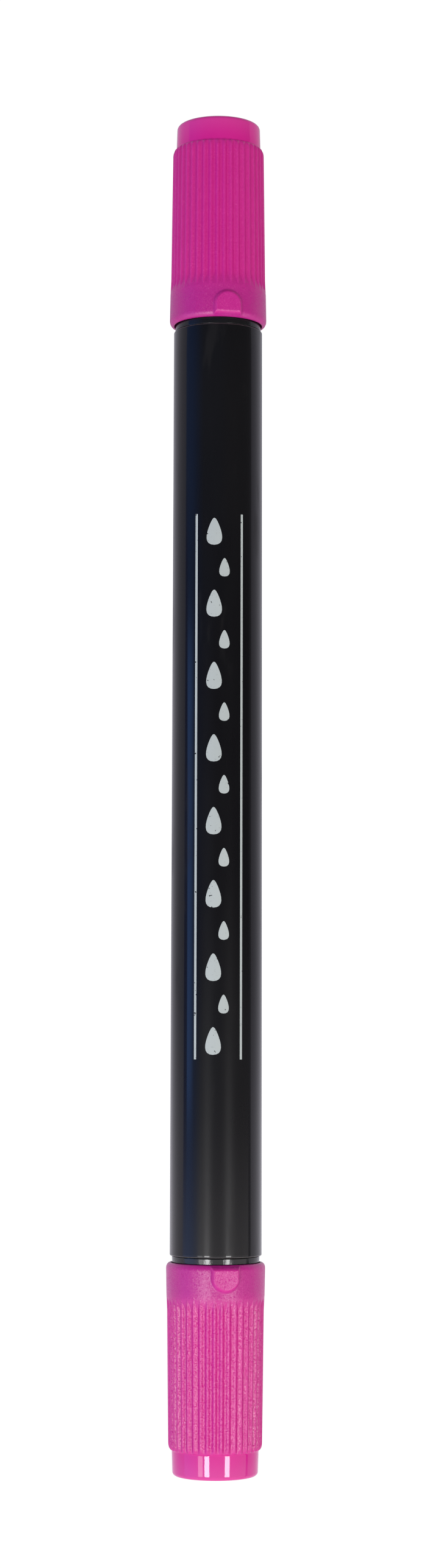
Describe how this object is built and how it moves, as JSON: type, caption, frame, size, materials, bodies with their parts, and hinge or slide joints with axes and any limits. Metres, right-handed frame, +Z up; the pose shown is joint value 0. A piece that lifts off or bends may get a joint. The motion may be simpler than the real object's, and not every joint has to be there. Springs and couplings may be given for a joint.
{
  "type": "double-ended marker",
  "caption": "Double-ended marker with a tapered round barrel, a fine nib at one end, a brush nib at the other, and a ribbed pull-off cap with a raised tab over each.",
  "frame": {"origin": "on the surface that the marker lies on, under the middle of its length", "axes": "+Y along the marker towards the fine nib's cap, +Z up, away from the surface, with both cap tabs facing up"},
  "size_m": [0.0104, 0.145, 0.0109],
  "materials": {
    "barrel_black": "glossy moulded black plastic",
    "nose_black": "high-gloss moulded black plastic",
    "cap_magenta": "ribbed moulded magenta plastic with a fine spark-eroded texture",
    "liner_magenta": "smooth glossy moulded magenta plastic",
    "holder_white": "natural white plastic",
    "nib_fibre": "bonded polyester fibre soaked with magenta ink",
    "core_fibre": "fibre bundle soaked with magenta ink",
    "wrap_film": "thin clear film"
  },
  "bodies": {
    "pen_body": {"barrel": "barrel_black", "fine_section": "nose_black", "brush_section": "nose_black", "fine_nib_holder": "holder_white", "fine_nib": "nib_fibre", "brush_nib": "nib_fibre", "reservoir_core": "core_fibre", "reservoir_wrap": "wrap_film"},
    "fine_cap": {"fine_cap_shell": "cap_magenta", "fine_cap_liner": "liner_magenta"},
    "brush_cap": {"brush_cap_shell": "cap_magenta", "brush_cap_liner": "liner_magenta"}
  },
  "joints": [
    {"name": "fine_cap_pull", "type": "slide", "parent": "pen_body", "child": "fine_cap", "axis": [0, 1, 0], "range_m": [0, 0.03]},
    {"name": "brush_cap_pull", "type": "slide", "parent": "pen_body", "child": "brush_cap", "axis": [0, -1, 0], "range_m": [0, 0.03]}
  ]
}
